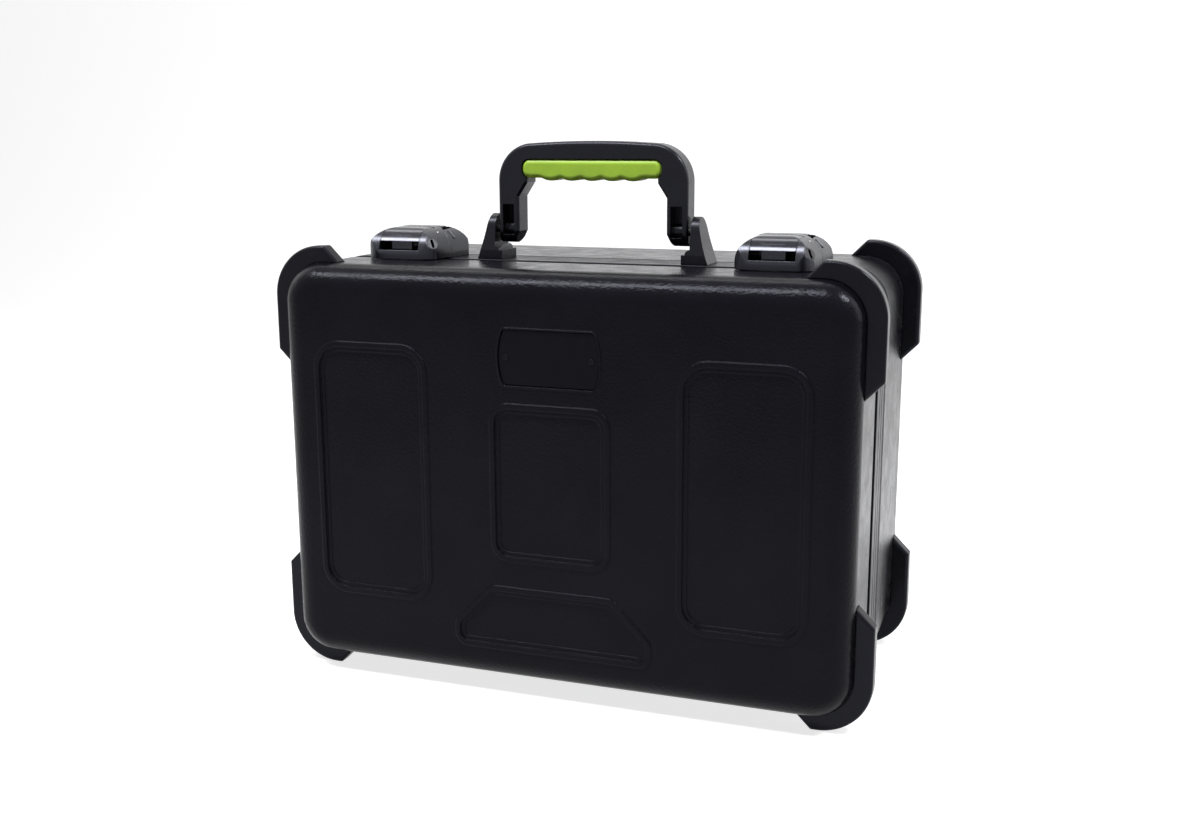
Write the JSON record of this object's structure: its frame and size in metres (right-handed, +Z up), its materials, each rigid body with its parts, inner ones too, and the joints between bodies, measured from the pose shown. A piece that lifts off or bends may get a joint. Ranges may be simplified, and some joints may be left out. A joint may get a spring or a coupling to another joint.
{
  "type": "microphone case",
  "caption": "Hard plastic case for microphones: hinged shells, corner guards, latches with key locks, foam drops and a swinging carrying handle.",
  "frame": {"origin": "floor level under the middle of the case as it stands on its lower corner guards", "axes": "+X across the front to the viewer's right, +Y from the lid to the back, +Z up"},
  "size_m": [0.432, 0.216, 0.3804],
  "materials": {
    "shells": "pebble grain",
    "band": "fine grain",
    "guards": "smooth satin",
    "foam": "open-cell foam",
    "screws": "zinc plated",
    "hinges": "plated",
    "name_plate": "bare",
    "grip": "soft lime green",
    "handle": "smooth satin",
    "steel_pins": "turned",
    "lock": "turned",
    "indicator": "pale insert",
    "strike": "plated",
    "latches": "smooth satin"
  },
  "bodies": {
    "base": {"base_shell": "shells", "base_valance": "band", "base_foam": "foam", "base_guard_screws": "screws", "base_hinge_rivets": "screws", "base_guard_bottom_left": "guards", "base_guard_bottom_right": "guards", "base_guard_top_left": "guards", "base_guard_top_right": "guards", "latch_housing_screws": "screws", "handle_bracket_screws": "screws", "hinge_left_base_leaf": "hinges", "hinge_left_pin": "hinges", "latch_left_housing": "latches", "latch_left_pivot_pin": "steel_pins", "latch_left_indicator": "indicator", "handle_bracket_left": "handle", "handle_pin_left": "steel_pins", "hinge_right_base_leaf": "hinges", "hinge_right_pin": "hinges", "latch_right_housing": "latches", "latch_right_pivot_pin": "steel_pins", "latch_right_indicator": "indicator", "handle_bracket_right": "handle", "handle_pin_right": "steel_pins"},
    "lid": {"lid_shell": "shells", "lid_foam": "foam", "lid_guard_screws": "screws", "lid_hinge_rivets": "screws", "name_plate": "name_plate", "name_plate_screws": "screws", "lid_guard_bottom_left": "guards", "lid_guard_bottom_right": "guards", "lid_guard_top_left": "guards", "lid_guard_top_right": "guards", "strike_plate_screws": "screws", "hinge_left_lid_leaf": "hinges", "strike_plate_left": "strike", "hinge_right_lid_leaf": "hinges", "strike_plate_right": "strike"},
    "handle": {"handle_frame": "handle", "handle_grip": "grip"},
    "latch_left": {"latch_left_lever": "latches", "latch_left_trigger_pin": "steel_pins"},
    "flap_left": {"latch_left_trigger": "latches"},
    "lock_left": {"latch_left_lock_cylinder": "lock"},
    "latch_right": {"latch_right_lever": "latches", "latch_right_trigger_pin": "steel_pins"},
    "flap_right": {"latch_right_trigger": "latches"},
    "lock_right": {"latch_right_lock_cylinder": "lock"}
  },
  "joints": [
    {"name": "lid_hinge", "type": "hinge", "parent": "base", "child": "lid", "pos_m": [0, -0.036, 0.0107], "axis": [1, 0, 0], "range_deg": [0, 110]},
    {"name": "handle_swing", "type": "hinge", "parent": "base", "child": "handle", "pos_m": [0, -0.015, 0.319], "axis": [1, 0, 0], "range_deg": [-90, 90]},
    {"name": "latch_left_swing", "type": "hinge", "parent": "base", "child": "latch_left", "pos_m": [-0.13531, -0.013, 0.3055], "axis": [-1, 0, 0], "range_deg": [0, 90]},
    {"name": "flap_left_pull", "type": "hinge", "parent": "latch_left", "child": "flap_left", "pos_m": [-0.13531, -0.031, 0.3149], "axis": [-1, 0, 0], "range_deg": [0, 20]},
    {"name": "lock_left_turn", "type": "hinge", "parent": "latch_left", "child": "lock_left", "pos_m": [-0.11131, -0.048, 0.309], "axis": [0.7488, -0.4679, 0.4695], "range_deg": [0, 90]},
    {"name": "latch_right_swing", "type": "hinge", "parent": "base", "child": "latch_right", "pos_m": [0.13531, -0.013, 0.3055], "axis": [-1, 0, 0], "range_deg": [0, 90]},
    {"name": "flap_right_pull", "type": "hinge", "parent": "latch_right", "child": "flap_right", "pos_m": [0.13531, -0.031, 0.3149], "axis": [-1, 0, 0], "range_deg": [0, 20]},
    {"name": "lock_right_turn", "type": "hinge", "parent": "latch_right", "child": "lock_right", "pos_m": [0.15932, -0.048, 0.309], "axis": [0.7488, -0.4679, 0.4695], "range_deg": [0, 90]}
  ]
}
